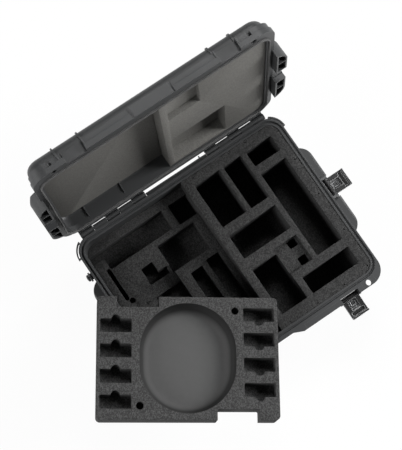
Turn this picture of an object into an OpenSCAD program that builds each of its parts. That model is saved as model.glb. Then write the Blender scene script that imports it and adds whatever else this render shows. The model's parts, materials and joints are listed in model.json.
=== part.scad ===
// Hard test equipment case: a moulded lower shell and a hinged lid, four draw latches,
// cut foam in both halves, and a lift-out foam tray lying across the open case.
// Origin: middle of the flat underside. X runs along the hinge, +Y to the hinge side, Z up.

/* [Case] */
// Inside width at the rim, along the hinge
inner_w = 554; // [500:1:620]
// Inside depth at the rim, front to hinge side
inner_d = 428; // [400:1:480]
// Height of the parting plane above the floor
rim_h = 163; // [150:1:200]
// Height of the lid above the parting plane
lid_h = 55; // [48:1:70]
// Thickness of the moulded walls
wall_t = 4; // [3:0.5:5]
// Inside corner radius in plan
corner_r = 28; // [24:1:36]
// How far the lower walls lean in from rim to floor
wall_draft = 5; // [3:0.5:7]
// Outer radius between wall and floor
foot_r = 16; // [12:1:20]
// Outer radius between lid wall and crown
crown_r = 20; // [14:1:24]
// Air between the closed lid and the lower rim
parting_gap = 0.6; // [0.4:0.1:1]

/* [Rim] */
// Flange width at the two ends
side_flange = 14; // [13:0.5:16]
// Flange width at the front, in the middle
front_flange = 20; // [18:0.5:22]
// Flange width at the front, in the two latch bulges
bulge_flange = 31; // [29:0.5:33]
// Flange width at the hinge side
hinge_flange = 16; // [14:0.5:17]
// Outer corner radius of the flange
flange_r = 40; // [34:1:44]
// Thickness of the lower flange plate
flange_t = 6; // [5:0.5:8]
// Thickness of the skirt that hangs from the lower flange
skirt_t = 3; // [2:0.5:4]
// Height of that skirt, from the parting plane
skirt_h = 15; // [12:0.5:17]
// Height of the lid's flange tier above the parting plane
tier_h = 26; // [22:0.5:28]
// Width of the seal groove
groove_w = 4; // [3:0.5:5]
// Depth of the seal groove in the lower rim
groove_d = 4.5; // [4:0.5:6]
// How far the groove's outer wall leans out, for the seal to swing in at the hinge side
groove_flare = 2.6; // [2.4:0.1:3]
// Width of the lip between groove and foam
lip_w = 4; // [3:0.5:5]
// Padlock hole diameter
padlock_d = 15; // [10:0.5:16]
// Padlock hole distance in from the ends of the inside
padlock_in = 33.5; // [30:0.5:40]

/* [Hinge] */
// Distance of the hinge axis behind the inside face
hinge_out = 24; // [23:0.5:28]
// Depth of the hinge axis below the parting plane
hinge_drop = 12; // [10:0.5:14]
// Hinge pin diameter
hinge_pin_d = 6; // [5:0.5:7]
// Knuckle diameter
knuckle_d = 15; // [13:0.5:15.5]
// How far the lid stands open
lid_open = 96; // [80:1:105]

/* [Latches] */
// Width of a latch
latch_w = 45; // [40:1:48]
// Distance of the front latches from the middle
latch_x = 188; // [180:1:194]
// Distance of the side latches behind the middle
side_latch_y = 5; // [-5:1:10]
// Distance of a latch axis outside the inside face
latch_out = 24.5; // [23.5:0.5:26]
// Depth of a latch axis below the parting plane
latch_drop = 20; // [19:0.5:22]
// Latch pin diameter
latch_pin_d = 5; // [4:0.5:6]
// How far an open latch swings out from shut
latch_swing = 95; // [85:1:100]
// How far the two latches under the tray lean out from shut
latch_lean = 12; // [11:0.5:14]

/* [Tray] */
// Tray length
tray_l = 416; // [400:1:420]
// Tray width
tray_w = 282; // [270:1:283]
// Tray thickness
tray_t = 50; // [44:1:51]
// Turn of the tray seen from above, clockwise
tray_turn = 34; // [28:1:38]
// Middle of the tray along X
tray_x = -221; // [-226:1:-216]
// Middle of the tray along Y
tray_y = -149; // [-154:1:-144]

/* [Hidden] */
$fn = 64;
// Overrun of every cut, gap between soft pieces and what they touch, radial play of a pin
cut = 1;
soft_gap = 0.3;
pin_play = 0.05;
half_w = inner_w / 2;
half_d = inner_d / 2;
padlock_x = half_w - padlock_in;
shell_black = [0.16, 0.165, 0.17];
foam_grey = [0.25, 0.25, 0.25];

// Carries a flat profile, drawn outwards and up, round a rounded rectangle
module swept(hw, hd, r) {
    corners = [[1, 1], [-1, 1], [-1, -1], [1, -1]];
    for (k = [0:3]) {
        run = k % 2 == 0 ? hd - r : hw - r;
        reach = k % 2 == 0 ? hw : hd;
        rotate([0, 0, 90 * k])
            translate([reach, 0, 0])
            rotate([90, 0, 0])
            linear_extrude(2 * run, center = true) children();
        translate([corners[k].x * (hw - r), corners[k].y * (hd - r), 0])
            rotate([0, 0, 90 * k])
            rotate_extrude(angle = 90)
            translate([r, 0]) children();
    }
}

// A rounded rectangle in plan, given by its half sizes
module plan_rect(hw, hd, r) {
    square([2 * (hw - r), 2 * hd], center = true);
    square([2 * hw, 2 * (hd - r)], center = true);
    for (sx = [-1, 1], sy = [-1, 1])
        translate([sx * (hw - r), sy * (hd - r)]) circle(r);
}

// A profile drawn outwards and up, drawn out sideways to a width
module across(width) {
    rotate([90, 0, 90]) linear_extrude(width, center = true) children();
}

// Half widths of the front recess between the two latch bulges, at its root and its mouth
recess_root = 27.5;
recess_mouth = 52;

// Plan of the flange, drawn in all round by inset and made longer at its ends
module rim_plan(inset, notch, longer = 0) {
    back = half_d + hinge_flange - inset;
    front = half_d + bulge_flange - inset;
    middle = half_d + front_flange - inset;
    difference() {
        translate([0, (back - front) / 2])
            plan_rect(half_w + side_flange + longer - inset, (back + front) / 2, flange_r - inset);
        polygon([[-recess_mouth, -front - cut], [-recess_mouth, -front], [-recess_root, -middle],
            [recess_root, -middle], [recess_mouth, -front], [recess_mouth, -front - cut]]);
        // The latch notches of the front edge
        for (s = [-1, 1])
            translate([s * latch_x - notch_w / 2 - inset, -half_d - notch + inset - flange_r])
                square([notch_w + 2 * inset, flange_r]);
    }
}

// The four latch places: along the wall, and the turn that points outwards
FRONT_RIGHT = 0;
FRONT_LEFT = 1;
RIGHT = 2;
LEFT = 3;
stations = [[latch_x, -half_d, 180], [-latch_x, -half_d, 180],
    [half_w, side_latch_y, -90], [-half_w, side_latch_y, 90]];
rest_lean = [latch_swing, latch_lean, latch_swing, latch_lean];
module station(k) {
    translate([stations[k].x, stations[k].y, 0]) rotate([0, 0, stations[k].z]) children();
}
// Padlock holes, with a narrow edge of plastic left outside them
flange_edge = 1.5;
hole_out = bulge_flange - padlock_d / 2 - flange_edge;
module padlock_holes(h) {
    for (s = [-1, 1])
        translate([s * padlock_x, -half_d - hole_out, -cut]) cylinder(d = padlock_d, h = h + 2 * cut);
}

// Hinge blocks: ends of the left and right block as shares of the length, and their knuckles
hinge_shares = [[-0.473, -0.139], [0.177, 0.484]];
knuckles = 5;
knuckle_gap = 0.8;
axis_y = half_d + hinge_out;
axis_z = rim_h - hinge_drop;
function knuckle_len(b) = (hinge_shares[b][1] - hinge_shares[b][0]) * inner_w / knuckles - knuckle_gap;
module knuckle_each(first) {
    for (b = [0, 1]) {
        pitch = (hinge_shares[b][1] - hinge_shares[b][0]) * inner_w / knuckles;
        for (k = [first:2:knuckles - 1])
            translate([hinge_shares[b][0] * inner_w + k * pitch + knuckle_gap / 2, 0, 0])
                children(b);
    }
}
module hinge_bore() {
    for (ends = hinge_shares * inner_w)
        translate([ends[0] - cut, axis_y, axis_z]) rotate([0, 90, 0])
            cylinder(d = hinge_pin_d + 2 * pin_play, h = ends[1] - ends[0] + 2 * cut);
}
module barrel(len) {
    translate([0, axis_y, axis_z]) rotate([0, 90, 0]) cylinder(d = knuckle_d, h = len);
}

// Small sizes of the shells
floor_t = 5;
rib_t = 2.5;
step_in = 3;
catch_out = 19.5;
notch_out = 18;
notch_w = latch_w + 4;
hook_over = 0.4;

// A shallow tub: walls that lean in by lean, rounded by foot into a flat floor
module tub(out, lean, foot, h, longer = 0) {
    core = out - lean - foot;
    swept(half_w + longer, half_d, corner_r) {
        intersection() {
            translate([core, foot]) circle(foot);
            translate([core, 0]) square([foot, foot]);
        }
        polygon([[core, foot], [out - lean, foot], [out, h], [core, h]]);
    }
    linear_extrude(h) plan_rect(half_w + longer + core, half_d + core, corner_r + core);
}

// Plan of a blister on the ends: the lower pods and the lid's lobes share it
pod_half = 127.5;
pod_r = 40;
pod_out = 37;
lobe_out = 43;
module end_plan(out, half, r) {
    difference() {
        translate([0, out - r]) square([2 * half, 2 * r], center = true);
        for (s = [-1, 1])
            translate([s * half, out]) square([2 * r, 2 * r], center = true);
    }
    for (s = [-1, 1]) translate([s * (half - r), out - r]) circle(r);
}

// Latch lugs on the lower shell, either side of a latch
lug_t = 6;
lug_r = 8.5;
lug_root = 14;
lug_gap = 0.5;
lug_half = latch_w / 2 + lug_gap;
module latch_lugs() {
    d = lug_r * cos(45);
    for (s = [-1, 1])
        translate([s * (lug_half + lug_t / 2), 0, rim_h]) across(lug_t) {
            translate([latch_out, -latch_drop]) circle(lug_r);
            polygon([[wall_t / 2, -flange_t], [side_flange, -flange_t],
                [latch_out + d, -latch_drop + d], [latch_out, -latch_drop - lug_r],
                [wall_t / 2, -latch_drop - lug_r - lug_root]]);
        }
}
module latch_pin_bar(k) {
    pin_l = 2 * (lug_half + lug_t);
    station(k) translate([-pin_l / 2, latch_out, rim_h - latch_drop]) rotate([0, 90, 0])
        cylinder(d = latch_pin_d, h = pin_l);
}

// Hollow blisters on each end, open underneath, a half either side of the latch
pod_drop = 21;
pod_deep = 95;
pod_lip = 60;
pod_round = 6;
pod_wall = 4;
pod_web = 17;
module pod_form(inset) {
    out = pod_out - inset;
    round_r = pod_round - inset / 2;
    intersection() {
        translate([0, 0, rim_h - pod_deep]) linear_extrude(pod_deep)
            end_plan(out, pod_half - inset, pod_r - inset);
        translate([0, 0, rim_h]) across(2 * pod_half) {
            polygon([[wall_at(pod_deep), -pod_deep], [out, -pod_lip], [out, -pod_drop - inset - round_r],
                [out - round_r, -pod_drop - inset], [wall_at(pod_drop + inset), -pod_drop - inset]]);
            translate([out - round_r, -pod_drop - inset - round_r]) circle(round_r);
        }
    }
}
// The outer face of the leaning wall, at a depth below the parting plane
function wall_at(deep) = wall_t - wall_draft * deep / rim_h;
pod_bay = lug_half + lug_t + lug_gap;
module pod_bay_cut(half) {
    translate([-half, 0, rim_h - pod_deep - cut]) cube([2 * half, pod_out + cut, pod_deep + cut]);
}
module end_pods() {
    color(shell_black) for (k = [RIGHT, LEFT]) station(k) difference() {
        pod_form(0);
        pod_bay_cut(pod_bay);
        difference() {
            union() {
                pod_form(pod_wall);
                translate([0, 0, -pod_wall - cut]) pod_form(pod_wall);
            }
            pod_bay_cut(pod_bay + pod_wall);
            for (s = [-1, 1])
                translate([s * (pod_half + lug_half) / 2 - rib_t / 2, 0, 0]) cube([rib_t, pod_out, rim_h]);
        }
    }
}
// Web behind an end latch, between its lugs
module latch_web() {
    translate([0, 0, rim_h]) across(2 * lug_half)
        polygon([[0, -pod_deep], [wall_at(pod_deep), -pod_deep], [pod_web, -pod_lip], [pod_web, -pod_drop],
            [0, -pod_drop]]);
}

// Gussets between the wall and the skirt, at shares of the length and depth
long_gusset_share = [-0.46, -0.26, -0.16, 0.16, 0.26, 0.46];
end_gusset_share = [-0.42, -0.34, -0.1, 0.12, 0.36, 0.44];
module gussets() {
    gusset_h = skirt_h - flange_t;
    intersection() {
        translate([0, 0, rim_h - skirt_h]) linear_extrude(gusset_h) difference() {
            rim_plan(skirt_t / 2, notch_out);
            plan_rect(half_w + wall_t / 2, half_d + wall_t / 2, corner_r);
        }
        translate([0, 0, rim_h - skirt_h]) union() {
            for (x = long_gusset_share)
                translate([x * inner_w - rib_t / 2, -inner_d, 0]) cube([rib_t, 2 * inner_d, gusset_h]);
            for (y = end_gusset_share)
                translate([-inner_w, y * inner_d - rib_t / 2, 0]) cube([2 * inner_w, rib_t, gusset_h]);
        }
    }
}

// Thin guard round a rear corner, standing off the flange
guard_off = 3;
guard_t = 3;
guard_turn = 60;
guard_tab_turn = 4;
module corner_guards() {
    guard_h = skirt_h - step_in;
    guard_r = flange_r + guard_off;
    for (s = [0, 1])
        mirror([s, 0, 0])
            translate([half_w + side_flange - flange_r, half_d + hinge_flange - flange_r,
                rim_h - skirt_h]) {
                rotate_extrude(angle = guard_turn)
                    translate([guard_r, 0]) square([guard_t, guard_h]);
                for (a = [guard_tab_turn, guard_turn - guard_tab_turn])
                    rotate([0, 0, a]) translate([flange_r - skirt_t / 2, -guard_t / 2, 0])
                        cube([guard_off + (guard_t + skirt_t) / 2, guard_t, guard_h]);
            }
}

// Stiffening ribs down the outer walls, and the bumpers on the corners
wall_rib_share = [-0.4, -0.28, 0.28, 0.4];
back_rib_share = [-0.44, -0.3, -0.16, 0.2, 0.33, 0.46];
belt_z = 62;
belt_h = 5;
belt_out = 6.5;
bumper_h = 26;
bumper_out = 8;
module wall_ribs() {
    rib_w = 7;
    rib_out = 6;
    for (x = wall_rib_share)
        translate([x * inner_w, -half_d, 0]) rotate([0, 0, 180]) across(rib_w) rib_section(rib_out);
    for (x = back_rib_share)
        translate([x * inner_w, half_d, 0]) across(rib_w) rib_section(rib_out);
}
module rib_section(out) {
    polygon([[-wall_draft, foot_r], [wall_t - wall_draft, foot_r], [out - wall_draft, 2 * foot_r],
        [out, rim_h - flange_t], [0, rim_h - flange_t]]);
}
module belt() {
    chamfer = 2;
    swept(half_w, half_d, corner_r)
        polygon([[-wall_draft / 2, belt_z], [belt_out - wall_draft - chamfer, belt_z],
            [belt_out - wall_draft, belt_z + chamfer], [belt_out - wall_draft, belt_z + belt_h - chamfer],
            [belt_out - wall_draft - chamfer, belt_z + belt_h], [-wall_draft / 2, belt_z + belt_h]]);
}
module corner_bumpers() {
    chamfer = 4;
    top = belt_z + bumper_h + chamfer;
    for (sx = [0, 1], sy = [0, 1])
        mirror([sx, 0, 0]) mirror([0, sy, 0])
            translate([half_w - corner_r, half_d - corner_r, 0])
            rotate_extrude(angle = 90) translate([corner_r, 0])
            polygon([[-wall_draft / 2, foot_r], [wall_t - wall_draft, foot_r],
                [bumper_out - wall_draft, foot_r + chamfer], [bumper_out - wall_draft, top - chamfer],
                [wall_t - wall_draft, top], [-wall_draft / 2, top]]);
}

// Stacking recesses under the floor, and the lid's pads that sit in them
stack_share = 0.3;
stack_l = 90;
stack_w = 44;
stack_r = 10;
stack_h = 2;
module stack_marks(grow, h) {
    for (sx = [-1, 1], sy = [-1, 1])
        translate([sx * stack_share * inner_w, sy * stack_share * inner_d, 0])
            linear_extrude(h) plan_rect(stack_l / 2 + grow, stack_w / 2 + grow, stack_r + grow);
}

// Clevis of the front handle
grip_pivot_x = 82;
grip_pivot_out = 11.5;
grip_pivot_drop = 48;
handle_pin_d = 6;
handle_arm_w = 10.5;
clevis_t = 6;
clevis_r = 7.5;
module handle_clevis() {
    for (sx = [-1, 1], s = [-1, 1])
        translate([sx * grip_pivot_x + s * (handle_arm_w / 2 + lug_gap + clevis_t / 2), -half_d,
            rim_h - grip_pivot_drop]) rotate([0, 0, 180]) across(clevis_t) difference() {
                union() {
                    translate([grip_pivot_out, 0]) circle(clevis_r);
                    polygon([[0, -2 * clevis_r], [grip_pivot_out, -clevis_r],
                        [grip_pivot_out, clevis_r], [0, 2 * clevis_r]]);
                }
                translate([grip_pivot_out, 0]) circle(d = handle_pin_d);
            }
}

// Pressure valve on the left end
valve_y = 146;
valve_drop = 25;
valve_seat = 8;
valve_boss_r = 10.5;
valve_bore_d = 12;
module at_valve() {
    translate([-half_w, valve_y, rim_h - valve_drop]) rotate([0, -90, 0]) children();
}

// Knuckles and webs of the lower hinge half, with a ledge and one thin divider between the blocks
divider_x = 80;
ledge_h = 8;
ledge_over = 1;
module base_hinge() {
    web_in = skirt_t + cut;
    ledge_ends = [hinge_shares[0][1] * inner_w + cut, hinge_shares[1][0] * inner_w - cut];
    translate([ledge_ends[0], half_d + hinge_flange - skirt_t / 2, rim_h - skirt_h])
        cube([ledge_ends[1] - ledge_ends[0], hinge_out + ledge_over + skirt_t / 2 - hinge_flange, ledge_h]);
    knuckle_each(1) {
        base_knuckle(knuckle_len(0), web_in);
        base_knuckle(knuckle_len(1), web_in);
    }
    translate([divider_x - rib_t / 2, half_d + hinge_flange - skirt_t / 2, rim_h - skirt_h])
        cube([rib_t, hinge_out + knuckle_d / 2 - hinge_flange, ledge_h]);
}
module base_knuckle(len, web_in) {
    barrel(len);
    translate([0, half_d + hinge_flange - web_in, axis_z - knuckle_d / 2])
        cube([len, hinge_out - hinge_flange + web_in, knuckle_d]);
}

// Flange plate and skirt of the lower rim, with the gussets behind them
module rim_frame() {
    translate([0, 0, rim_h - flange_t]) linear_extrude(flange_t) rim_plan(0, notch_out);
    translate([0, 0, rim_h - skirt_h]) linear_extrude(skirt_h) difference() {
        rim_plan(0, notch_out);
        rim_plan(skirt_t, notch_out);
    }
    gussets();
}

// Padlock eyes: the two front corners of that rim, set in flush round the holes
eye_half = 18;
eye_in = 10.5;
eye_boss_t = 5;
module eye_blocks() {
    for (s = [-1, 1])
        translate([s * padlock_x - eye_half, -half_d - 2 * bulge_flange, rim_h - skirt_h - cut])
            cube([2 * eye_half, 2 * bulge_flange - hole_out + eye_in, skirt_h + 2 * cut]);
}
module padlock_eyes() {
    color(shell_black) intersection() {
        eye_blocks();
        difference() {
            union() {
                rim_frame();
                translate([0, 0, rim_h - skirt_h]) linear_extrude(skirt_h) intersection() {
                    rim_plan(0, notch_out);
                    for (s = [-1, 1])
                        translate([s * padlock_x, -half_d - hole_out]) circle(padlock_d / 2 + eye_boss_t);
                }
            }
            translate([0, 0, rim_h - skirt_h]) padlock_holes(skirt_h);
        }
    }
}

// Front rim: two set-in strips, each with a latch notch and its lugs, from near the handle to an eye
strip_in = 60;
strip_drop = 34;
module front_strip() {
    for (s = [0, 1]) mirror([s, 0, 0])
        translate([strip_in, -half_d - inner_d, rim_h - strip_drop])
            cube([padlock_x - eye_half - strip_in, inner_d - notch_out, strip_drop + cut]);
}
module front_rim() {
    color(shell_black) difference() {
        intersection() {
            front_strip();
            union() {
                rim_frame();
                for (k = [FRONT_RIGHT, FRONT_LEFT]) station(k) latch_lugs();
            }
        }
        for (k = [FRONT_RIGHT, FRONT_LEFT]) latch_pin_bar(k);
    }
}

// Section of the seal groove
module seal_groove() {
    polygon([[lip_w, rim_h - groove_d], [lip_w + groove_w, rim_h - groove_d],
        [lip_w + groove_w + groove_flare, rim_h], [lip_w + groove_w + groove_flare, rim_h + cut],
        [lip_w, rim_h + cut]]);
}
module base_shell() {
    color(shell_black) difference() {
        union() {
            tub(wall_t, wall_draft, foot_r, rim_h);
            rim_frame();
            swept(half_w, half_d, corner_r) translate([0, rim_h - flange_t - rib_t])
                square([lip_w + groove_w + groove_flare, flange_t + rib_t]);
            corner_guards();
            wall_ribs();
            belt();
            corner_bumpers();
            for (k = [0:3]) station(k) latch_lugs();
            for (k = [RIGHT, LEFT]) station(k) latch_web();
            handle_clevis();
            base_hinge();
            at_valve() cylinder(r = valve_boss_r, h = valve_seat);
        }
        translate([0, 0, floor_t]) tub(0, wall_draft, foot_r - wall_t, rim_h - floor_t);
        translate([0, 0, rim_h - floor_t]) linear_extrude(floor_t + cut)
            plan_rect(half_w, half_d, corner_r);
        swept(half_w, half_d, corner_r) seal_groove();
        eye_blocks();
        front_strip();
        translate([0, 0, -cut]) stack_marks(lug_gap, stack_h + cut);
        hinge_bore();
        for (k = [0:3]) latch_pin_bar(k);
        at_valve() translate([0, 0, -floor_t])
            cylinder(d = valve_bore_d, h = valve_seat + floor_t + cut);
    }
}

// Depths of the foam pieces in the lower half
floor_foam_top = 61;
left_foam_top = 111;
right_foam_top = 161.5;
foam_split = 7.5;
foam_cut_r = 3;

// Everything inside the lower shell, clear of its walls, between two heights
module foam_fill(low, high) {
    intersection() {
        translate([0, 0, floor_t + soft_gap])
            tub(-soft_gap, wall_draft, foot_r - wall_t, rim_h - floor_t);
        translate([-half_w, -half_d, low]) cube([inner_w, inner_d, high - low]);
    }
}
module base_floor_foam() {
    color(foam_grey) foam_fill(0, floor_foam_top);
}

// Pockets: left, right, front and back edges as shares of the piece they are cut in
module pockets(shares, w, d, h) {
    for (p = shares) {
        pw = (p[1] - p[0]) * w;
        pd = (p[3] - p[2]) * d;
        r = min(foam_cut_r, pw / 3, pd / 3);
        translate([(p[0] + p[1]) / 2 * w, (p[2] + p[3]) / 2 * d, -h])
            linear_extrude(h + cut) plan_rect(pw / 2, pd / 2, r);
    }
}
left_through_shares = [[0.0587, 0.3845, 0.8206, 0.9442], [-0.02, 0.064, 0.8937, 0.9442],
    [0.4175, 0.53, 0.8157, 0.9442], [0.2796, 0.4745, 0.611, 0.7871], [0.1657, 0.2245, 0.6559, 0.7301],
    [0.1657, 0.2668, 0.6278, 0.6659], [0.1525, 0.2852, 0.2979, 0.5532],
    [0.3348, 0.3973, 0.0759, 0.554], [0.4231, 0.4892, 0.0759, 0.5682],
    [0.0442, 0.2789, 0.0759, 0.2512], [0.0379, 0.0554, 0.6229, 0.8306]];
left_shallow_shares = [[0.1032, 0.2852, 0.5432, 0.661]];
left_hole_share = [0.061, 0.6086];
left_hole_d = 14;
left_shallow = 25;
module base_foam_left() {
    color(foam_grey) difference() {
        foam_fill(floor_foam_top + soft_gap, left_foam_top);
        translate([foam_split - soft_gap, -half_d, 0]) cube([inner_w, inner_d, rim_h]);
        translate([-half_w, -half_d, left_foam_top]) {
            pockets(left_through_shares, inner_w, inner_d, left_foam_top);
            pockets(left_shallow_shares, inner_w, inner_d, left_shallow);
            translate([left_hole_share.x * inner_w, left_hole_share.y * inner_d, -left_foam_top])
                cylinder(d = left_hole_d, h = left_foam_top + cut);
        }
    }
}
right_through_shares = [[0.0835, 0.349, 0.6554, 0.938], [0.39, 0.584, 0.6554, 0.938],
    [0.6345, 0.907, 0.84, 0.938], [0.6345, 0.907, 0.2325, 0.7886], [0.0835, 0.584, 0.4428, 0.5993],
    [0.0835, 0.349, 0.0713, 0.368], [0.479, 0.568, 0.345, 0.39], [0.479, 0.568, 0.2338, 0.2815],
    [0.412, 0.907, 0.0713, 0.1787]];
right_shallow_shares = [[0.34, 0.584, 0.2278, 0.396]];
right_shallow = 15;
module base_foam_right() {
    right_w = half_w - foam_split;
    color(foam_grey) difference() {
        foam_fill(floor_foam_top + soft_gap, right_foam_top);
        translate([foam_split - inner_w, -half_d, 0]) cube([inner_w, inner_d, rim_h]);
        translate([foam_split, -half_d, right_foam_top]) {
            pockets(right_through_shares, right_w, inner_d, right_foam_top);
            pockets(right_shallow_shares, right_w, inner_d, right_shallow);
        }
    }
}

module hinge_pins() {
    color("silver") for (ends = hinge_shares * inner_w)
        translate([ends[0], axis_y, axis_z]) rotate([0, 90, 0])
            cylinder(d = hinge_pin_d, h = ends[1] - ends[0]);
}
module latch_pins() {
    color("silver") for (k = [0:3]) latch_pin_bar(k);
}
handle_pin_l = handle_arm_w + 2 * (lug_gap + clevis_t);
module handle_pins() {
    color("silver") for (s = [-1, 1])
        translate([s * grip_pivot_x - handle_pin_l / 2, -half_d - grip_pivot_out,
            rim_h - grip_pivot_drop]) rotate([0, 90, 0]) cylinder(d = handle_pin_d, h = handle_pin_l);
}

// Swinging front handle, hanging flat against the wall, with a rubber sleeve on its bar
handle_t = 12;
handle_h = 42;
handle_r = 16;
bar_h = 14;
bar_t = 10;
grip_l = 124;
grip_h = 22;
grip_t = 16;
sleeve_play = 0.2;
module at_handle() {
    translate([0, -half_d - grip_pivot_out, rim_h - grip_pivot_drop]) children();
}
module front_handle() {
    outer = grip_pivot_x + handle_arm_w / 2;
    inner = grip_pivot_x - handle_arm_w / 2;
    color(shell_black) at_handle() difference() {
        union() {
            translate([0, handle_t / 2, 0]) rotate([90, 0, 0]) linear_extrude(handle_t) difference() {
                translate([0, -handle_h / 2]) square([2 * outer, handle_h], center = true);
                translate([0, -(handle_h - bar_h) / 2 + handle_r / 2])
                    plan_rect(inner, (handle_h - bar_h) / 2 + handle_r / 2, handle_r / 2);
                for (s = [-1, 1]) translate([s * outer, -handle_h]) difference() {
                    square([2 * handle_r, 2 * handle_r], center = true);
                    translate([-s * handle_r, handle_r]) circle(handle_r);
                }
            }
            for (s = [-1, 1])
                translate([s * grip_pivot_x - handle_arm_w / 2, 0, 0]) rotate([0, 90, 0])
                    cylinder(r = clevis_r, h = handle_arm_w);
        }
        for (y = [-1, 1])
            translate([-grip_l / 2, y > 0 ? bar_t / 2 : -handle_t, -handle_h - cut])
                cube([grip_l, handle_t - bar_t / 2, bar_h + 2 * cut]);
        translate([-outer - cut, 0, 0]) rotate([0, 90, 0])
            cylinder(d = handle_pin_d + 2 * pin_play, h = 2 * (outer + cut));
    }
}
module handle_grip() {
    r = grip_t / 2;
    bar_z = -handle_h + bar_h / 2;
    color([0.12, 0.12, 0.12]) at_handle() translate([0, 0, bar_z]) difference() {
        across(grip_l - 2 * sleeve_play) {
            square([grip_t, grip_h - 2 * r], center = true);
            for (s = [-1, 1]) translate([0, s * (grip_h / 2 - r)]) circle(r);
        }
        across(grip_l + cut) square([bar_t + 2 * sleeve_play, bar_h + 2 * sleeve_play], center = true);
    }
}

// Valve: a flanged body in the shell's boss, and a turning domed knob on its face
ring_r = 12;
ring_z = 17;
ring_h = 4;
knob_r = 8.5;
knob_h = 5;
knob_stem_d = 6;
module valve_body() {
    neck_r = 8.5;
    color(shell_black) at_valve() difference() {
        union() {
            translate([0, 0, -wall_t / 2]) cylinder(d = valve_bore_d - 2 * pin_play, h = ring_z);
            translate([0, 0, valve_seat]) cylinder(r = neck_r, h = ring_z - valve_seat);
            translate([0, 0, ring_z]) cylinder(r = ring_r, h = ring_h);
        }
        translate([0, 0, ring_z - ring_h]) cylinder(d = knob_stem_d + 2 * pin_play, h = 2 * ring_h + cut);
    }
}
module valve_knob() {
    play = 0.3;
    notch = 2;
    color("dimgray") at_valve() translate([0, 0, ring_z + ring_h + play]) {
        translate([0, 0, -ring_h - play]) cylinder(d = knob_stem_d, h = ring_h + 2 * play);
        difference() {
            intersection() {
                cylinder(r = knob_r, h = knob_h + notch);
                translate([0, 0, knob_h + notch - 2 * knob_r]) sphere(2 * knob_r);
            }
            for (a = [0:60:359])
                rotate([0, 0, a]) translate([knob_r + notch / 2, 0, -cut])
                    cylinder(r = notch, h = knob_h + notch + 2 * cut);
        }
    }
}

// The lid is longer than the lower shell at both ends, in its crown and in its flange
lid_longer = 10;
lid_flange_longer = 6;

// The lid stands open about its hinge
module lid_pose() {
    translate([0, axis_y, axis_z]) rotate([-lid_open, 0, 0]) translate([0, -axis_y, -axis_z]) children();
}
lid_z = rim_h + parting_gap;
crown_t = 4;

// Lobes of the lid that drop outside the flange over the pods, open underneath
lobe_drop = 19;
lobe_wall = 4;
lobe_in = 15.5;
lobe_slope = 10;
lobe_clear = 1;
lobe_bay = notch_w + 4 * lobe_clear;
module lobe_form(inset, low) {
    intersection() {
        translate([0, 0, rim_h + low]) linear_extrude(tier_h - low - inset)
            end_plan(lobe_out - inset, pod_half - inset, pod_r - inset);
        translate([0, 0, rim_h]) across(2 * pod_half)
            polygon([[0, low], [lobe_out - inset, low], [lobe_out - inset, tier_h - lobe_slope - inset],
                [lobe_out - lobe_slope - inset, tier_h - inset], [0, tier_h - inset]]);
    }
}
module lid_lobes() {
    lug_top = flange_t - lobe_clear;
    lug_reach = lug_half + lug_t + lobe_clear;
    rib_at = (pod_half + lug_half) / 2;
    difference() {
        lobe_form(0, -lobe_drop);
        translate([-pod_half, -cut, rim_h - lobe_drop - cut])
            cube([2 * pod_half, lobe_in + cut, lobe_drop + parting_gap + cut]);
        translate([-lobe_bay / 2, catch_out, rim_h - lobe_drop - cut])
            cube([lobe_bay, lobe_out, lobe_drop + tier_h + 2 * cut]);
        translate([-lobe_bay / 2, 0, rim_h - lobe_drop - cut])
            cube([lobe_bay, lobe_out, lobe_drop + parting_gap + cut]);
        translate([-lug_reach, 0, rim_h - lobe_drop - cut])
            cube([2 * lug_reach, lobe_out + cut, lobe_drop - lug_top + cut]);
        difference() {
            lobe_form(lobe_wall, -lobe_drop - cut);
            translate([-pod_half, 0, 0]) cube([2 * pod_half, lobe_in + lobe_wall, rim_h + tier_h]);
            translate([-lug_reach - lobe_wall, 0, 0])
                cube([2 * (lug_reach + lobe_wall), lobe_out, rim_h + tier_h]);
            for (s = [-1, 1]) translate([s * rib_at - rib_t / 2, 0, 0])
                cube([rib_t, lobe_out, rim_h + tier_h]);
        }
    }
}

// Raised panel in the middle of the lid's front, with ramped ends, over the recess of the lower rim
tab_half = 46;
tab_out = 33;
module front_tab() {
    root = front_flange - step_in - cut;
    face = bulge_flange - step_in;
    end = tab_half + tab_out - face;
    translate([0, -half_d, lid_z]) linear_extrude(tier_h - parting_gap)
        polygon([[-end, -root], [-end, -face], [-tab_half, -tab_out], [tab_half, -tab_out], [end, -face],
            [end, -root]]);
}

// Rib pairs beside the front catches, from the parting edge up the tier and wall and over the crown
band_w = 3.5;
band_out = 3.5;
band_at = 27;
band_wide = 34;
module lid_ribs() {
    core = [wall_t - crown_r, lid_h - crown_r];
    for (x = [latch_x - band_at, latch_x + band_at, -latch_x + band_at, -latch_x - band_wide])
        translate([x, -half_d, rim_h]) rotate([0, 0, 180]) across(band_w) {
            translate([0, parting_gap]) square([bulge_flange, tier_h + rib_t - parting_gap]);
            translate([0, tier_h]) square([wall_t + band_out, core.y - tier_h]);
            intersection() {
                translate(core) circle(crown_r + band_out);
                translate(core) square(2 * crown_r);
            }
            translate([core.x - crown_r, lid_h - crown_t / 2]) square([crown_r, crown_t / 2 + band_out]);
        }
}
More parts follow.
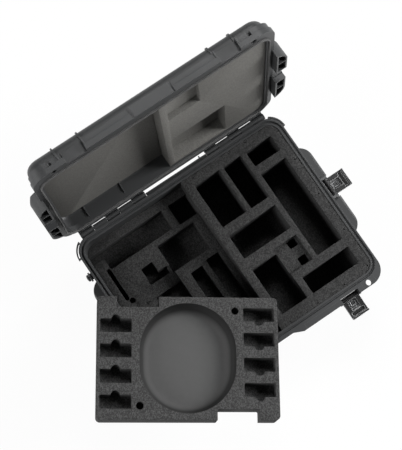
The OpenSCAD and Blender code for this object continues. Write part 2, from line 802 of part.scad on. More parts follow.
// Lip along the hinge side, which closes the slot between the lid and the barrels
hinge_lip_out = 22;
hinge_lip_t = 5;
hinge_lip_drop = 3.5;
module hinge_lip() {
    near = hinge_lip_out - hinge_lip_t;
    translate([0, half_d, rim_h]) across(2 * (half_w + side_flange - flange_r))
        polygon([[near, -hinge_lip_drop], [hinge_lip_out, -hinge_lip_drop], [hinge_lip_out, tier_h / 2],
            [hinge_flange - 2 * step_in, tier_h / 2], [hinge_flange - 2 * step_in, parting_gap],
            [near, parting_gap]]);
}
module lid_knuckle(len) {
    barrel(len);
    translate([0, half_d + hinge_flange - skirt_t, rim_h + parting_gap])
        cube([len, hinge_out + skirt_t - hinge_flange + knuckle_d / 2, knuckle_d / 2]);
    translate([0, axis_y, axis_z]) cube([len, knuckle_d / 2, hinge_drop + parting_gap + knuckle_d / 2]);
}
// Two ribs down the inside of the lid's hinge wall, over the thin pad
inner_rib_share = [-0.395, -0.211];
module lid_inner_ribs() {
    foot = lid_h - crown_t - 2 * soft_gap - lid_pad;
    for (x = inner_rib_share)
        translate([x * inner_w - rib_t / 2, half_d - step_in, rim_h + tier_h / 2])
            cube([rib_t, step_in + wall_t / 2, foot - tier_h / 2]);
}
module lid_shell() {
    catch_w = notch_w + lug_gap;
    color(shell_black) lid_pose() {
        lid_inner_ribs();
        difference() {
            union() {
                translate([0, 0, rim_h + lid_h]) mirror([0, 0, 1])
                    tub(wall_t, 0, crown_r, lid_h - parting_gap, lid_longer);
                translate([0, 0, lid_z]) linear_extrude(tier_h / 2 - parting_gap)
                    rim_plan(0, catch_out, lid_flange_longer);
                translate([0, 0, lid_z]) linear_extrude(tier_h - parting_gap)
                    rim_plan(step_in, catch_out, lid_flange_longer);
                hinge_lip();
                for (k = [0:3]) station(k) translate([-catch_w / 2, 0, lid_z])
                    cube([catch_w, catch_out, tier_h - parting_gap]);
                for (k = [RIGHT, LEFT]) station(k) lid_lobes();
                front_tab();
                lid_ribs();
                knuckle_each(0) {
                    lid_knuckle(knuckle_len(0));
                    lid_knuckle(knuckle_len(1));
                }
                translate([0, 0, rim_h + lid_h - cut]) stack_marks(0, stack_h + cut);
            }
            translate([0, 0, rim_h + lid_h - crown_t]) mirror([0, 0, 1])
                tub(0, 0, crown_r - wall_t, lid_h + cut);
            translate([0, 0, rim_h + lid_h - crown_t]) mirror([0, 0, 1])
                tub(0, 0, crown_r - wall_t, lid_h - crown_t - tier_h / 2, lid_longer);
            swept(half_w, half_d, corner_r) translate([lip_w, rim_h - cut])
                square([groove_w, rib_t + parting_gap + cut]);
            translate([0, 0, rim_h]) padlock_holes(tier_h);
            hinge_bore();
        }
    }
}

// Rubber seal, seated in the lid's channel and reaching into the groove of the lower rim
module lid_seal() {
    seal_r = groove_w / 2 - soft_gap;
    seal_top = rib_t + parting_gap - soft_gap;
    color([0.3, 0.3, 0.3]) lid_pose() translate([0, 0, rim_h])
        swept(half_w, half_d, corner_r) {
            translate([lip_w + soft_gap, -groove_d + soft_gap + seal_r])
                square([2 * seal_r, groove_d + seal_top - soft_gap - seal_r]);
            translate([lip_w + groove_w / 2, -groove_d + soft_gap + seal_r]) circle(seal_r);
        }
}

// Foam in the lid: a thin pad on the left and a thick cut block on the right
lid_pad = 10;
lid_block = 46;
lid_split = 8;
lid_recess_share = [0.0636, 0.3688, -0.02, 0.288];
lid_well_share = [0.0554, 0.597, 0.588, 0.977];
lid_recess = 14;
lid_well = 33;
module lid_foam(thick) {
    intersection() {
        translate([0, 0, rim_h + lid_h - crown_t - soft_gap]) mirror([0, 0, 1])
            tub(-soft_gap, 0, crown_r - wall_t, lid_h);
        translate([-half_w, -half_d, rim_h + lid_h - crown_t - soft_gap - thick])
            cube([inner_w, inner_d, thick]);
    }
}
module lid_foam_left() {
    color(foam_grey) lid_pose() difference() {
        lid_foam(lid_pad);
        translate([lid_split - soft_gap, -half_d, rim_h]) cube([inner_w, inner_d, lid_h]);
    }
}
module lid_foam_right() {
    w = half_w - lid_split;
    low = lid_h - crown_t - soft_gap - lid_block;
    color(foam_grey) lid_pose() difference() {
        lid_foam(lid_block);
        translate([lid_split - inner_w, -half_d, rim_h]) cube([inner_w, inner_d, lid_h]);
        translate([lid_split, -half_d, rim_h + low]) mirror([0, 0, 1]) {
            pockets([lid_recess_share], w, inner_d, lid_recess);
            pockets([lid_well_share], w, inner_d, lid_well);
        }
    }
}

// A latch, upright when shut: barrel, plate with a window, and a hook at its top
hook_in = 8.5;
hook_t = 4.2;
plate_in = 3;
plate_out = 5;
barrel_r = 6;
window_half = 11;
window_low = 8;
window_high = 33;
trigger_y = 2.5;
trigger_z = 30;
trigger_pin_d = 2.5;
trigger_pin_l = 30;
hook_z = latch_drop + tier_h + hook_over;
module latch_pose(k) {
    station(k) translate([0, latch_out, rim_h - latch_drop]) rotate([-rest_lean[k], 0, 0]) children();
}
module latch(k) {
    core_low = window_high + plate_in / 2;
    color(shell_black) latch_pose(k) difference() {
        across(latch_w) {
            circle(barrel_r);
            translate([-plate_in, 0]) square([plate_in + plate_out, hook_z]);
            translate([-hook_in, hook_z]) square([hook_in + plate_out - plate_in, hook_t]);
            translate([plate_out - plate_in, hook_z]) circle(plate_in);
        }
        across(latch_w + cut) circle(d = latch_pin_d + 2 * pin_play);
        across(2 * window_half) translate([-barrel_r - cut, window_low])
            square([2 * (barrel_r + cut), window_high - window_low]);
        across(latch_w - 2 * plate_out) translate([-plate_in - cut, core_low])
            square([plate_in + cut, hook_z - core_low - hook_t / 2]);
        translate([-trigger_pin_l / 2, trigger_y, trigger_z]) rotate([0, 90, 0])
            cylinder(d = trigger_pin_d, h = trigger_pin_l);
    }
}
module trigger(k) {
    half = window_half - lug_gap;
    low = window_low + cut;
    slot_half = 6;
    slot_low = 12;
    slot_high = 22;
    slot_web = 1.5;
    eye_r = 2.3;
    color(shell_black) latch_pose(k) difference() {
        across(2 * half) {
            translate([trigger_y - lug_gap, low]) square([plate_out - trigger_y + lug_gap, trigger_z - low]);
            translate([trigger_y, trigger_z]) circle(eye_r);
            translate([plate_out - lug_gap, low + lug_gap]) circle(r = cut);
        }
        across(2 * slot_half) translate([0, slot_low])
            square([plate_out - slot_web, slot_high - slot_low]);
        across(2 * window_half) translate([trigger_y, trigger_z])
            circle(d = trigger_pin_d + 2 * pin_play);
    }
}
module trigger_pin(k) {
    color("silver") latch_pose(k) translate([-trigger_pin_l / 2, trigger_y, trigger_z])
        rotate([0, 90, 0]) cylinder(d = trigger_pin_d, h = trigger_pin_l);
}
module front_right_latch() { latch(FRONT_RIGHT); }
module front_left_latch() { latch(FRONT_LEFT); }
module right_latch() { latch(RIGHT); }
module left_latch() { latch(LEFT); }
module front_right_trigger() { trigger(FRONT_RIGHT); }
module front_left_trigger() { trigger(FRONT_LEFT); }
module right_trigger() { trigger(RIGHT); }
module left_trigger() { trigger(LEFT); }
module front_right_trigger_pin() { trigger_pin(FRONT_RIGHT); }
module front_left_trigger_pin() { trigger_pin(FRONT_LEFT); }
module right_trigger_pin() { trigger_pin(RIGHT); }
module left_trigger_pin() { trigger_pin(LEFT); }

// The tray lies on the hooks of the front left and left latches and on the foam at one corner
tray_r = 10;
tray_rest = 0.9;
hook_top = sqrt(pow(hook_in, 2) + pow(hook_z + hook_t, 2));
rest_z = rim_h - latch_drop + hook_top + tray_rest;
tray_ex = [cos(tray_turn), -sin(tray_turn)];
tray_ey = [sin(tray_turn), cos(tray_turn)];
tray_at = [tray_x, tray_y];
corner_in = tray_r * (1 - cos(45));
corner_at = tray_at + (tray_l / 2 - corner_in) * tray_ex + (tray_w / 2 - corner_in) * tray_ey;
front_rest = [-latch_x + latch_w / 2, -half_d - latch_out, rest_z];
left_rest = [-half_w - latch_out, side_latch_y + latch_w / 2, rest_z];
foam_rest = [corner_at.x, corner_at.y, right_foam_top + soft_gap];
tray_normal = cross(foam_rest - front_rest, left_rest - front_rest);
tray_up = tray_normal / norm(tray_normal);
tray_mid_z = front_rest.z
    - ((tray_at.x - front_rest.x) * tray_up.x + (tray_at.y - front_rest.y) * tray_up.y) / tray_up.z;
module tray_pose() {
    translate([tray_x, tray_y, tray_mid_z])
        rotate(a = acos(tray_up.z), v = cross([0, 0, 1], tray_up))
        rotate([0, 0, -tray_turn]) children();
}
tray_pocket_shares = [[0.0192, 0.1923, 0.0872, 0.1994], [0.0192, 0.1923, 0.2928, 0.405],
    [0.0192, 0.1923, 0.4984, 0.6106], [0.0192, 0.1923, 0.704, 0.8162]];
tray_notch_share = [0.109, 0.342, 0.9128, 1.02];
tray_hole_share = [0.2372, 0.1121];
tray_hole_d = 17.6;
tray_hole_deep = 44;
tray_pocket = 38;
finger_r = 11.5;
finger_in = 2;
pan_r = 110.5;
pan_run = 32;
pan_deep = 35;
pan_round = 25;
module pan_section() {
    translate([0, -pan_deep]) square([pan_r - pan_round, pan_deep + cut]);
    translate([0, pan_round - pan_deep]) square([pan_r, pan_deep - pan_round + cut]);
    translate([pan_r - pan_round, pan_round - pan_deep]) circle(pan_round);
}
module pan() {
    for (s = [0, 1]) mirror([0, s, 0]) translate([0, pan_run / 2, 0])
        rotate_extrude(angle = 180) pan_section();
    rotate([90, 0, 0]) linear_extrude(pan_run, center = true) {
        pan_section();
        mirror([1, 0]) pan_section();
    }
}
module foam_tray() {
    color(foam_grey) tray_pose() difference() {
        linear_extrude(tray_t) plan_rect(tray_l / 2, tray_w / 2, tray_r);
        translate([0, 0, tray_t]) {
            pan();
            for (turn = [0, 180]) rotate([0, 0, turn]) translate([-tray_l / 2, -tray_w / 2, 0]) {
                pockets(tray_pocket_shares, tray_l, tray_w, tray_pocket);
                pockets([tray_notch_share], tray_l, tray_w, tray_t + cut);
                for (p = tray_pocket_shares)
                    translate([(p[0] + p[1]) / 2 * tray_l, p[3] * tray_w - finger_in, -tray_pocket])
                        cylinder(r = finger_r, h = tray_pocket + cut);
                translate([tray_hole_share.x * tray_l, tray_hole_share.y * tray_w, -tray_hole_deep])
                    cylinder(d = tray_hole_d, h = tray_hole_deep + cut);
            }
        }
    }
}

base_shell();
padlock_eyes();
end_pods();
front_rim();
base_floor_foam();
base_foam_left();
base_foam_right();
hinge_pins();
latch_pins();
handle_pins();
front_handle();
handle_grip();
valve_body();
valve_knob();
lid_shell();
lid_seal();
lid_foam_left();
lid_foam_right();
front_right_latch();
front_left_latch();
right_latch();
left_latch();
front_right_trigger();
front_left_trigger();
right_trigger();
left_trigger();
front_right_trigger_pin();
front_left_trigger_pin();
right_trigger_pin();
left_trigger_pin();
foam_tray();
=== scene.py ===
import bmesh
import bpy
import json
import math
from mathutils import Matrix, Vector


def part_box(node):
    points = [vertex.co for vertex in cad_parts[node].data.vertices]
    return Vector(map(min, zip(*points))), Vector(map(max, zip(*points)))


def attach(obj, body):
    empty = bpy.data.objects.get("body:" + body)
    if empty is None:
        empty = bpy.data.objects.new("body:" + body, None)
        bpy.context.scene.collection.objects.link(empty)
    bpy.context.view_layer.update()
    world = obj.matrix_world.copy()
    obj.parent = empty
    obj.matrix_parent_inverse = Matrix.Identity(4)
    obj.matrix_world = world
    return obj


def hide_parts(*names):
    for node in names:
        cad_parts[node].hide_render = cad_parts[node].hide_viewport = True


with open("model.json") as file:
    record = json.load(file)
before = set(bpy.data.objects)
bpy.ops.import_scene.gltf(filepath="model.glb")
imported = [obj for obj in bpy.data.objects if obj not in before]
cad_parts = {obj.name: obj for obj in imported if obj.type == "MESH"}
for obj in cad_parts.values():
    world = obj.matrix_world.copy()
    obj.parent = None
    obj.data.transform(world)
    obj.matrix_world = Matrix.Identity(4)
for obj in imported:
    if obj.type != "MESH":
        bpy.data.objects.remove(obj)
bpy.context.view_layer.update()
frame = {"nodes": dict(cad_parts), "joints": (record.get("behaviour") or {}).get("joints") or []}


# The camera: a long lens almost straight above the open case and a little to its front left.
# Its place was worked out from the corners of the rim, the lid and the tray.
CAMERA_AT = (-0.313, -0.231, 2.987)
CAMERA_TURN = (0.156, -0.023, -0.596)
FOCAL_PIXELS = 1201.0
IMAGE_WIDTH = 402.0
SENSOR_WIDTH = 36.0
CAMERA_REACH = 20.0


def make_camera():
    """Sets up the long lens at its place."""
    lens = bpy.data.cameras.new("camera")
    lens.sensor_fit = "HORIZONTAL"
    lens.sensor_width = SENSOR_WIDTH
    lens.lens = SENSOR_WIDTH * FOCAL_PIXELS / IMAGE_WIDTH
    lens.clip_end = CAMERA_REACH
    camera = bpy.data.objects.new("camera", lens)
    x, y, z = (Matrix.Rotation(a, 3, n) for a, n in zip(CAMERA_TURN, "XYZ"))
    camera.matrix_world = Matrix.Translation(CAMERA_AT) @ (z @ y @ x).to_4x4()
    bpy.context.collection.objects.link(camera)
    bpy.context.scene.camera = camera


make_camera()


# The floor: a sheet of seamless white paper that the case stands on, lit from within,
# so that it reads almost pure white and hardly any shadow falls on it.
PAPER_HALF = 100.0
PAPER_GLOW = 1.03
PAPER_SHARE = 0.06


def linear(hex_colour):
    """An sRGB hex colour as the linear values that the shaders use."""
    parts = [int(hex_colour[i:i + 2], 16) / 255 for i in (1, 3, 5)]
    return tuple(c / 12.92 if c <= 0.04045 else ((c + 0.055) / 1.055) ** 2.4 for c in parts) + (1.0,)


def add(material, kind, sockets=None, **settings):
    """Adds a shader node with its settings, and sets or links its sockets."""
    tree = material.node_tree
    new = tree.nodes.new("ShaderNode" + kind)
    for name, value in settings.items():
        setattr(new, name, value)
    for name, value in (sockets or {}).items():
        if isinstance(value, bpy.types.NodeSocket):
            tree.links.new(value, new.inputs[name])
        else:
            new.inputs[name].default_value = value
    return new


def blank(name):
    """An empty material and its output node."""
    material = bpy.data.materials.new(name)
    material.use_nodes = True
    material.node_tree.nodes.clear()
    return material, add(material, "OutputMaterial")


def white_paper_floor():
    """White paper: an even glow with a little of the matt sheet in it, for the faintest of shadows."""
    material, output = blank("white_paper_floor")
    glow = add(material, "Emission", {"Color": linear("#fdfdfd"), "Strength": PAPER_GLOW})
    paper = add(material, "BsdfDiffuse", {"Color": linear("#e8e8e8"), "Roughness": 1.0})
    mix = add(material, "MixShader", {"Fac": PAPER_SHARE, 1: glow.outputs[0], 2: paper.outputs[0]})
    material.node_tree.links.new(mix.outputs[0], output.inputs["Surface"])
    return material


def make_floor():
    """One large square of the paper."""
    mesh = bpy.data.meshes.new("paper_floor")
    corners = [(sx * PAPER_HALF, sy * PAPER_HALF, 0) for sx, sy in ((-1, -1), (1, -1), (1, 1), (-1, 1))]
    mesh.from_pydata(corners, [], [(0, 1, 2, 3)])
    floor = bpy.data.objects.new("paper_floor", mesh)
    bpy.context.collection.objects.link(floor)
    mesh.materials.append(white_paper_floor())


make_floor()


# The studio lights: three large softboxes, one behind and above, one low on each side,
# and a faint even light from all round. Each has its place, width and power.
LIGHT_AIM = (0, 0, 0.1)
SOFTBOXES = (("key_light", (1.6, 2.4, 4.1), 1.6, 100),
             ("right_light", (3.6, -1.2, 2.2), 2.0, 219),
             ("left_light", (-3.6, 0.4, 2.2), 2.0, 100))
ROOM_LIGHT = 0.03


def softbox(name, at, size, power):
    """A square soft light at a place, turned towards the case."""
    light = bpy.data.lights.new(name, "AREA")
    light.size = size
    light.energy = power
    lamp = bpy.data.objects.new(name, light)
    turn = (Vector(at) - Vector(LIGHT_AIM)).to_track_quat("Z", "Y").to_matrix().to_4x4()
    lamp.matrix_world = Matrix.Translation(at) @ turn
    bpy.context.collection.objects.link(lamp)


world = bpy.data.worlds.new("studio")
world.use_nodes = True
world.node_tree.nodes["Background"].inputs["Color"].default_value = linear("#ffffff")
world.node_tree.nodes["Background"].inputs["Strength"].default_value = ROOM_LIGHT
bpy.context.scene.world = world
bpy.context.scene.view_settings.view_transform = "Standard"
for name, at, size, power in SOFTBOXES:
    softbox(name, at, size, power)


# The moulded halves of the case, with its rim pieces, handle bar and valve.
# Injection-moulded polypropylene, black, with the fine leather grain of the mould on every face
# and its edges painted lighter, partly as rubbed wear and partly as a painted highlight.
MM = 0.001
GRAIN = 0.8 * MM
GRAIN_DEPTH = 0.05 * MM
GRAIN_STRENGTH = 0.5
EDGE_ROUND = 0.7 * MM
EDGE_STARTS = 0.99
EDGE_FULL = 0.8
# Size of the patches in the lighter edge colour (partly wear, partly painted highlight) and in the gloss.
PATCH_SIZE = 160 * MM
PATCH_DETAIL = 4.0
GLOSS_SPREAD = 0.06
POLYPROPYLENE_IOR = 1.49


def moulded_polypropylene(name, base, wear_and_highlight_colour, roughness, rounding, wear_and_highlight_amount):
    """Black polypropylene from a grained mould: a soft broad gloss, its edges painted lighter, partly
    rubbed wear and partly a painted highlight.
    """
    material, output = blank(name)
    place = add(material, "TexCoord").outputs["Object"]
    grain = add(material, "TexVoronoi", {"Vector": place, "Scale": 1 / GRAIN}, feature="SMOOTH_F1")
    cloud = add(material, "TexNoise", {"Vector": place, "Scale": 1 / PATCH_SIZE, "Detail": PATCH_DETAIL})
    rounded = add(material, "Bevel", {"Radius": rounding}, samples=8)
    flat = add(material, "NewGeometry").outputs["Normal"]
    turn = add(material, "VectorMath", {0: rounded.outputs[0], 1: flat}, operation="DOT_PRODUCT")
    edge = add(material, "MapRange", {"Value": turn.outputs["Value"],
                                      "From Min": EDGE_STARTS, "From Max": EDGE_FULL})
    patchy = add(material, "Math", {0: edge.outputs[0], 1: cloud.outputs["Fac"]}, operation="MULTIPLY")
    wear_and_highlight_mask = add(material, "Math", {0: patchy.outputs[0], 1: wear_and_highlight_amount}, operation="MULTIPLY", use_clamp=True)
    # Partly rubbed wear, partly painted highlight: a lighter colour mixed in along the rounded edges, in
    # patches.
    colour = add(material, "Mix", {"Factor": wear_and_highlight_mask.outputs[0], "A": linear(base), "B": linear(wear_and_highlight_colour)},
                 data_type="RGBA")
    gloss = add(material, "MapRange", {"Value": cloud.outputs["Fac"], "From Min": 0.3, "From Max": 0.7,
                                       "To Min": roughness - GLOSS_SPREAD,
                                       "To Max": roughness + GLOSS_SPREAD})
    bump = add(material, "Bump", {"Height": grain.outputs["Distance"], "Distance": GRAIN_DEPTH,
                                  "Strength": GRAIN_STRENGTH, "Normal": rounded.outputs[0]})
    skin = add(material, "BsdfPrincipled", {"Base Color": colour.outputs["Result"],
                                            "Roughness": gloss.outputs[0], "IOR": POLYPROPYLENE_IOR,
                                            "Normal": bump.outputs[0]})
    material.node_tree.links.new(skin.outputs[0], output.inputs["Surface"])
    return material


def dress(name, material):
    """Gives a rigid piece its finish."""
    piece = frame["nodes"][name]
    piece.data.materials.clear()
    piece.data.materials.append(material)


# The shell's edges: partly rubbed wear, partly a painted highlight.
shell_skin = moulded_polypropylene("moulded_polypropylene", base="#3b3c3d", wear_and_highlight_colour="#747576", roughness=0.5,
                                   rounding=EDGE_ROUND, wear_and_highlight_amount=1.0)
for name in ("base_shell", "padlock_eyes", "end_pods", "front_rim", "lid_shell", "front_handle",
             "valve_body", "valve_knob"):
    dress(name, shell_skin)


# The four draw latches, each with the trigger that releases it.
# The same plastic from a smoother mould, darker, with a painted highlight along every rim of the window and
# hook.
LATCH_ROUND = 1.6 * MM
LATCH_PAINTED_HIGHLIGHT = 2.0
# Painted highlight: the bright second colour along the rims of latches and triggers.
latch_skin = moulded_polypropylene("latch_polypropylene", base="#101011", wear_and_highlight_colour="#c4c5c6", roughness=0.5,
                                   rounding=LATCH_ROUND, wear_and_highlight_amount=LATCH_PAINTED_HIGHLIGHT)
trigger_skin = moulded_polypropylene("trigger_polypropylene", base="#3a3b3c", wear_and_highlight_colour="#dcddde",
                                     roughness=0.45, rounding=LATCH_ROUND, wear_and_highlight_amount=LATCH_PAINTED_HIGHLIGHT)
for side in ("front_right", "front_left", "right", "left"):
    dress(side + "_latch", latch_skin)
    dress(side + "_trigger", trigger_skin)


# The pins of the hinge, latches, triggers and handle.
# Stainless steel rod, cut to length and pressed into the shell's lugs, so only the ends show.
DRAWN_LINE = 0.6 * MM
PIN_GLOSS = (0.22, 0.4)


def drawn_stainless():
    """Drawn stainless rod: a bright metal, its gloss broken by fine marks of the die."""
    material, output = blank("drawn_stainless")
    place = add(material, "TexCoord").outputs["Object"]
    lines = add(material, "TexNoise", {"Vector": place, "Scale": 1 / DRAWN_LINE, "Detail": 2.0})
    gloss = add(material, "MapRange", {"Value": lines.outputs["Fac"],
                                       "To Min": PIN_GLOSS[0], "To Max": PIN_GLOSS[1]})
    skin = add(material, "BsdfPrincipled", {"Base Color": linear("#b9bab8"), "Metallic": 1.0,
                                            "Roughness": gloss.outputs[0]})
    material.node_tree.links.new(skin.outputs[0], output.inputs["Surface"])
    return material


pin_steel = drawn_stainless()
for name in ("hinge_pins", "latch_pins", "handle_pins", "front_right_trigger_pin",
             "front_left_trigger_pin", "right_trigger_pin", "left_trigger_pin"):
    dress(name, pin_steel)


# The foam in the lower half: sheets of closed-cell polyethylene foam, water-jet cut and glued up.
# The cut faces show the cells as light and dark specks, and every cut edge is a little soft.
# Real cells are finer; they are drawn as coarse as they have to be to show.
CELL = 2.2 * MM
CLUSTER = 1.3 * CELL
CELL_DEPTH = 0.5 * MM
CELL_STRENGTH = 0.6
FOAM_ROUGHNESS = 0.95
FOAM_IOR = 1.3
FOAM_EDGE = 1.2 * MM
SAME_POINT = 0.01 * MM
FLAT_TURN = math.radians(1)
EDGE_TURN = math.radians(40)
SHADED_TURN = math.radians(35)


def closed_cell_foam(name, base, pale, speck=0.5):
    """Closed-cell polyethylene foam: dry, no gloss, each cut cell catching the light differently."""
    material, output = blank(name)
    place = add(material, "TexCoord").outputs["Object"]
    cells = add(material, "TexVoronoi", {"Vector": place, "Scale": 1 / CELL}, feature="F1")
    grey = add(material, "RGBToBW", {"Color": cells.outputs["Color"]})
    fine = add(material, "TexNoise", {"Vector": place, "Scale": 1 / CLUSTER, "Detail": 3.0})
    both = add(material, "Math", {0: grey.outputs[0], 1: fine.outputs["Fac"]}, operation="MULTIPLY")
    lift = add(material, "MapRange", {"Value": both.outputs[0], "From Min": 0.12, "From Max": 0.42,
                                      "To Max": speck})
    colour = add(material, "Mix", {"Factor": lift.outputs[0], "A": linear(base), "B": linear(pale)},
                 data_type="RGBA")
    bump = add(material, "Bump", {"Height": both.outputs[0], "Distance": CELL_DEPTH,
                                  "Strength": CELL_STRENGTH})
    skin = add(material, "BsdfPrincipled", {"Base Color": colour.outputs["Result"],
                                            "Roughness": FOAM_ROUGHNESS, "IOR": FOAM_IOR,
                                            "Normal": bump.outputs[0]})
    material.node_tree.links.new(skin.outputs[0], output.inputs["Surface"])
    return material


def softened(name, node, body, material, width):
    """A soft piece that takes its plain solid's form, with every edge rounded over."""
    mesh = bpy.data.meshes.new(name)
    work = bmesh.new()
    work.from_mesh(frame["nodes"][node].data)
    bmesh.ops.remove_doubles(work, verts=work.verts, dist=SAME_POINT)
    bmesh.ops.dissolve_limit(work, angle_limit=FLAT_TURN, verts=work.verts, edges=work.edges)
    work.to_mesh(mesh)
    work.free()
    piece = bpy.data.objects.new(name, mesh)
    bpy.context.collection.objects.link(piece)
    soften = piece.modifiers.new("soften", "BEVEL")
    soften.width = width
    soften.segments = 2
    soften.limit_method = "ANGLE"
    soften.angle_limit = EDGE_TURN
    soften.use_clamp_overlap = True
    bpy.context.view_layer.update()
    finished = piece.evaluated_get(bpy.context.evaluated_depsgraph_get())
    shaped = bpy.data.meshes.new_from_object(finished)
    piece.modifiers.clear()
    piece.data = shaped
    shaped.materials.clear()
    shaped.materials.append(material)
    shaped.polygons.foreach_set("use_smooth", [True] * len(shaped.polygons))
    shaped.set_sharp_from_angle(angle=SHADED_TURN)
    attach(piece, body)
    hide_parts(node)
    return piece


def cut_foam(name, node, body, material):
    """A foam piece, every cut edge softened."""
    piece = softened(name, node, body, material, FOAM_EDGE)
    return piece


base_foam_skin = closed_cell_foam("charcoal_foam", "#2b2b2b", "#585858")
cut_foam("floor_foam", "base_floor_foam", "base", base_foam_skin)
cut_foam("left_foam", "base_foam_left", "base", base_foam_skin)


# The right block stands as high as the rim. Small round holes locate its sheets while they are cut,
# and are left open round its border; their places are shares of the block's width and depth.
DOT_RADIUS = 1.8 * MM
DOT_DEEP = 7 * MM
DOT_SIDES = 16
DOT_SHARES = ((0.115, 0.981), (0.404, 0.981), (0.501, 0.984), (0.683, 0.984), (0.968, 0.749),
              (0.968, 0.515), (0.968, 0.27), (0.952, 0.03), (0.686, 0.015), (0.401, 0.015),
              (0.104, 0.015))


def peg_dots(piece, node):
    """Punches the small locating holes down into the top of the block."""
    low, high = (Vector(corner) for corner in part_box(node))
    cutter = bmesh.new()
    for share_x, share_y in DOT_SHARES:
        at = Vector((low.x + share_x * (high.x - low.x), low.y + share_y * (high.y - low.y), high.z))
        bmesh.ops.create_cone(cutter, cap_ends=True, segments=DOT_SIDES, radius1=DOT_RADIUS,
                              radius2=DOT_RADIUS, depth=2 * DOT_DEEP, matrix=Matrix.Translation(at))
    mesh = bpy.data.meshes.new("dots")
    cutter.to_mesh(mesh)
    cutter.free()
    tool = bpy.data.objects.new("dots", mesh)
    bpy.context.collection.objects.link(tool)
    punch = piece.modifiers.new("punch", "BOOLEAN")
    punch.operation = "DIFFERENCE"
    punch.solver = "EXACT"
    punch.object = tool
    bpy.context.view_layer.update()
    finished = piece.evaluated_get(bpy.context.evaluated_depsgraph_get())
    punched = bpy.data.meshes.new_from_object(finished)
    piece.modifiers.clear()
    piece.data = punched
    bpy.data.objects.remove(tool)


right_foam = cut_foam("right_foam", "base_foam_right", "base", base_foam_skin)
peg_dots(right_foam, "base_foam_right")


# The loose tray: one thick sheet of a slightly paler foam, cut like the blocks.
# The bowl in its middle is pressed with a hot mould, which closes the cells into a smooth skin.
PAN_RADIUS = 110.8 * MM
PAN_RUN = 32 * MM
PAN_EDGE = 1.5 * MM
SKIN_PATCH = 12 * MM
SKIN_TONE = (0.94, 1.06)
SKIN_ROUGHNESS = 0.8
SKIN_IOR = 1.4
# Painted shade: the slope over which the skin darkens from its flat colour to the darker colour of the
# sides.
SLOPE_SHADE_RANGE = (0.75, 1.0)


def pressed_foam(name, up):
    """Hot-pressed foam: a closed, smooth skin, with painted shade making it darker on the sloping sides
    than where it lies flat.
    """
    material, output = blank(name)
    place = add(material, "TexCoord").outputs["Object"]
    cloud = add(material, "TexNoise", {"Vector": place, "Scale": 1 / SKIN_PATCH, "Detail": 3.0})
    normal = add(material, "NewGeometry").outputs["Normal"]
    level = add(material, "VectorMath", {0: normal, 1: tuple(up)}, operation="DOT_PRODUCT")
    flat = add(material, "MapRange", {"Value": level.outputs["Value"],
                                      "From Min": SLOPE_SHADE_RANGE[0], "From Max": SLOPE_SHADE_RANGE[1]})
    tone = add(material, "MapRange", {"Value": cloud.outputs["Fac"],
                                      "To Min": SKIN_TONE[0], "To Max": SKIN_TONE[1]})
    # Painted shade: the darker colour on the sloping sides, the lighter one where the skin lies flat.
    painted_slope_shade = add(material, "Mix", {"Factor": flat.outputs[0], "A": linear("#2a2a2a"),
                                  "B": linear("#535353")}, data_type="RGBA")
    toned = add(material, "VectorMath", {0: painted_slope_shade.outputs["Result"], "Scale": tone.outputs[0]},
                operation="SCALE")
    skin = add(material, "BsdfPrincipled", {"Base Color": toned.outputs[0], "Roughness": SKIN_ROUGHNESS,
                                            "IOR": SKIN_IOR})
    material.node_tree.links.new(skin.outputs[0], output.inputs["Surface"])
    return material


def press_pan(tray):
    """Gives the pressed skin to every face of the bowl, below its rim and above the tray's underside."""
    slide = next(joint for joint in frame["joints"] if joint["name"] == "tray_slide")
    along_y = -Vector(slide["axis"]).normalized()
    mesh = tray.data
    under = max(mesh.polygons, key=lambda face: face.area)
    up = -under.normal if under.normal.z < 0 else under.normal
    up = (up - up.dot(along_y) * along_y).normalized()
    along_x = along_y.cross(up)
    low = min(v.co.dot(up) for v in mesh.vertices)
    top = max(v.co.dot(up) for v in mesh.vertices)
    middle_x = sum(f(v.co.dot(along_x) for v in mesh.vertices) for f in (min, max)) / 2
    middle_y = sum(f(v.co.dot(along_y) for v in mesh.vertices) for f in (min, max)) / 2
    mesh.materials.append(pressed_foam("pressed_foam", up))
    for face in mesh.polygons:
        x = face.center.dot(along_x) - middle_x
        y = max(abs(face.center.dot(along_y) - middle_y) - PAN_RUN / 2, 0)
        deep = top - face.center.dot(up)
        if math.hypot(x, y) < PAN_RADIUS and PAN_EDGE < deep < top - low - PAN_EDGE:
            face.material_index = 1


tray_foam = cut_foam("tray_foam", "foam_tray", "tray", closed_cell_foam("tray_foam", "#353535", "#686868"))
press_pan(tray_foam)


# The foam in the lid: a thin pad on the left and a thick cut block on the right, glued to the crown.
# A finer, paler grey foam than the blocks below, warm in tone and with hardly any speck.
lid_foam_skin = closed_cell_foam("lid_foam", "#6b6a67", "#8d8c88", 0.35)
cut_foam("lid_pad", "lid_foam_left", "lid", lid_foam_skin)
cut_foam("lid_block", "lid_foam_right", "lid", lid_foam_skin)


# The seal in the lid's rim.
# One endless cord of sponge rubber, pushed into its groove and standing a little proud, grey with dust.
SEAL_ROUND = 1.1 * MM
DUST_PATCH = 9 * MM
RUBBER_ROUGHNESS = 0.7
RUBBER_IOR = 1.52


def matt_rubber(name, base, pale):
    """Black rubber: a dull sheen, with a dusting that makes it read grey."""
    material, output = blank(name)
    place = add(material, "TexCoord").outputs["Object"]
    dust = add(material, "TexNoise", {"Vector": place, "Scale": 1 / DUST_PATCH, "Detail": 5.0})
    colour = add(material, "Mix", {"Factor": dust.outputs["Fac"], "A": linear(base), "B": linear(pale)},
                 data_type="RGBA")
    skin = add(material, "BsdfPrincipled", {"Base Color": colour.outputs["Result"],
                                            "Roughness": RUBBER_ROUGHNESS, "IOR": RUBBER_IOR})
    material.node_tree.links.new(skin.outputs[0], output.inputs["Surface"])
    return material


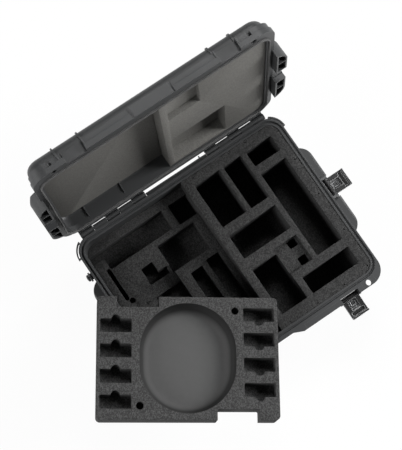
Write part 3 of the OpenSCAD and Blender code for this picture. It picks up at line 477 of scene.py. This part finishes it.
seal_skin = matt_rubber("seal_rubber", "#3a3a3a", "#6a6a6a")
seal_cord = softened("seal_cord", "lid_seal", "lid", seal_skin, SEAL_ROUND)


# The sleeve on the handle.
# Soft rubber moulded over the bar, with a row of shallow rings that the fingers hold.
RING_PITCH = 6.2 * MM
RING_DEEP = 0.9 * MM
RING_STEPS = 8
BORE_HALF_THICK = 5.2 * MM
BORE_HALF_HIGH = 7.2 * MM
SLEEVE_SIDES = 48
LEAST_PART = 1e-6
SLEEVE_TURN = math.radians(50)


def rubber_sleeve():
    """A flattened tube along the bar, ringed outside and square inside."""
    low, high = (Vector(corner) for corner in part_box("handle_grip"))
    middle = (low + high) / 2
    half_t, half_h = (high.y - low.y) / 2, (high.z - low.z) / 2
    straight = half_h - half_t
    count = round((high.x - low.x) / RING_PITCH) * RING_STEPS
    turns = [2 * math.pi * (k + 0.5) / SLEEVE_SIDES for k in range(SLEEVE_SIDES)]
    work = bmesh.new()

    def ring(x, inset):
        """Points of the rounded section, drawn in by inset."""
        points = []
        for turn in turns:
            y = (half_t - inset) * math.cos(turn)
            z = (half_t - inset) * math.sin(turn) + math.copysign(straight, math.sin(turn))
            points.append(work.verts.new((x, middle.y + y, middle.z + z)))
        return points

    def bore(x):
        """Points of the square hole, one for each point of the outer section."""
        points = []
        for turn in turns:
            y, z = math.cos(turn), math.sin(turn)
            reach = min(BORE_HALF_THICK / max(abs(y), LEAST_PART), BORE_HALF_HIGH / max(abs(z), LEAST_PART))
            points.append(work.verts.new((x, middle.y + reach * y, middle.z + reach * z)))
        return points

    rings = [bore(low.x), ring(low.x, 2 * RING_DEEP)]
    for step in range(count + 1):
        share = step / count
        wave = 0.5 - 0.5 * math.cos(2 * math.pi * step / RING_STEPS)
        end = RING_DEEP / 2 if step in (0, count) else 0
        rings.append(ring(low.x + share * (high.x - low.x), RING_DEEP * (1 - wave) + end))
    rings += [ring(high.x, 2 * RING_DEEP), bore(high.x)]
    for near, far in zip(rings, rings[1:] + rings[:1]):
        for k in range(SLEEVE_SIDES):
            n = (k + 1) % SLEEVE_SIDES
            work.faces.new((near[k], near[n], far[n], far[k]))
    bmesh.ops.recalc_face_normals(work, faces=work.faces)
    mesh = bpy.data.meshes.new("handle_sleeve")
    work.to_mesh(mesh)
    work.free()
    mesh.polygons.foreach_set("use_smooth", [True] * len(mesh.polygons))
    mesh.set_sharp_from_angle(angle=SLEEVE_TURN)
    mesh.materials.append(matt_rubber("grip_rubber", "#1e1e1f", "#333334"))
    sleeve = bpy.data.objects.new("handle_sleeve", mesh)
    bpy.context.collection.objects.link(sleeve)
    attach(sleeve, "handle")
    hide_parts("handle_grip")


rubber_sleeve()
